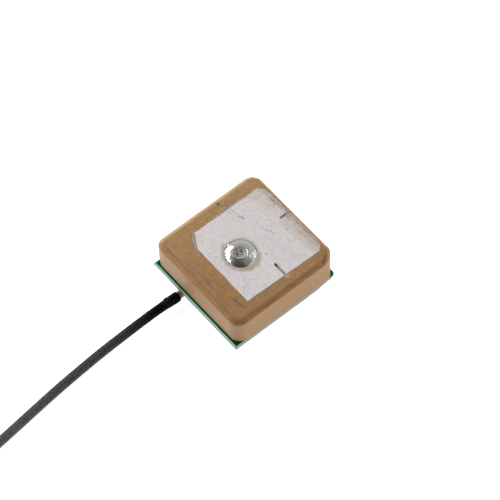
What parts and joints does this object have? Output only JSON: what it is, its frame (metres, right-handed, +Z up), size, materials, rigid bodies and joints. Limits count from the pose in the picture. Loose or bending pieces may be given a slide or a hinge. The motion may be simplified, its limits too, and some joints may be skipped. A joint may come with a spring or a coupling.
{
  "type": "gps patch antenna",
  "caption": "Square ceramic patch antenna with silver patch and soldered feed pin, on a green amplifier board with a shield can, and a thin black coaxial lead ending in a plug.",
  "frame": {"origin": "bottom centre of the module without its lead: the flat face of the shield can stands on z = 0", "axes": "+Z up through the ceramic to the silver patch; the lead leaves towards -Y; X across"},
  "size_m": [0.0227, 0.0568, 0.0071],
  "materials": {
    "ceramic": "matt fired dielectric ceramic",
    "fired_silver": "matt fired silver",
    "adhesive_film": "translucent film",
    "feed_pin": "tinned pin",
    "solder": "bright solder",
    "board": "green coated glass laminate",
    "tinned_pads": "tinned copper",
    "chip_body": "moulded epoxy",
    "filter_base": "white ceramic",
    "filter_lid": "plated lid",
    "capacitor": "fired ceramic",
    "inductor": "white ceramic",
    "tinplate": "tinned sheet, satin",
    "braid": "tinned wire braid",
    "dielectric": "white fluoropolymer",
    "core": "silvered copper strand",
    "jacket": "black satin fluoropolymer jacket",
    "tie": "paper-covered wire",
    "plug_metal": "thin gold plating",
    "plug_insulator": "white moulded"
  },
  "bodies": {
    "root": {"ceramic_block": "ceramic", "patch_electrode": "fired_silver", "ground_electrode": "fired_silver", "adhesive_film": "adhesive_film", "feed_pin": "feed_pin", "feed_solder": "solder", "circuit_board": "board", "contact_pads": "tinned_pads", "pin_solder_joint": "solder", "amplifier_body": "chip_body", "amplifier_leads": "tinned_pads", "filter_base": "filter_base", "filter_lid": "filter_lid", "chip_capacitors": "capacitor", "chip_resistors": "chip_body", "chip_inductors": "inductor", "component_end_caps": "tinned_pads", "shield_can": "tinplate", "shield_solder": "solder", "coax_braid": "braid", "braid_solder": "solder", "coax_dielectric": "dielectric", "centre_conductor": "core", "centre_solder": "solder", "coax_lead": "jacket", "coax_coil": "jacket", "coax_tail": "jacket", "coil_tie": "tie", "plug_shell": "plug_metal", "plug_insulator": "plug_insulator", "plug_contact": "plug_metal"}
  },
  "joints": []
}
